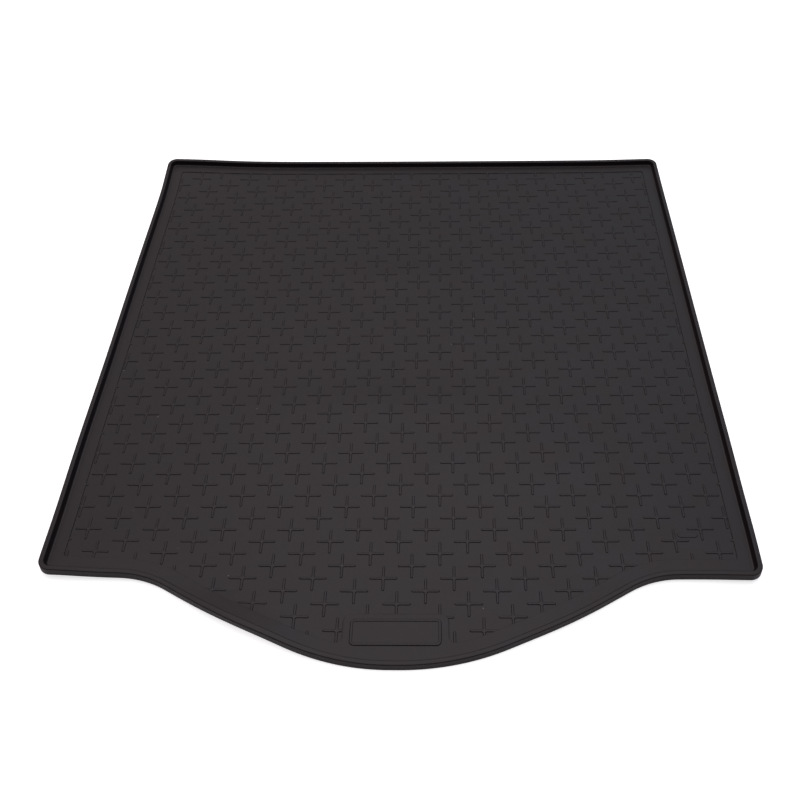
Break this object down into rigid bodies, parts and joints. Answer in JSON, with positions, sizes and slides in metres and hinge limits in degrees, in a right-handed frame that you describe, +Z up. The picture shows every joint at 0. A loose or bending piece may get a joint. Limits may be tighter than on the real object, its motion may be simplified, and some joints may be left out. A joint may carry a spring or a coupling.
{
  "type": "car boot liner",
  "caption": "Moulded rubber boot liner: a wide shallow tray with a raised rim, a nose over the sill and a floor of low raised crosses.",
  "frame": {"origin": "on the boot floor, under the middle of the tray's box", "axes": "+X to the right seen from the rear bumper, +Y forwards to the seat backs, +Z up"},
  "size_m": [1.03, 1.125, 0.013],
  "materials": {
    "rubber": "satin, fine matt grain"
  },
  "bodies": {
    "root": {"boot_liner": "rubber"}
  },
  "joints": []
}
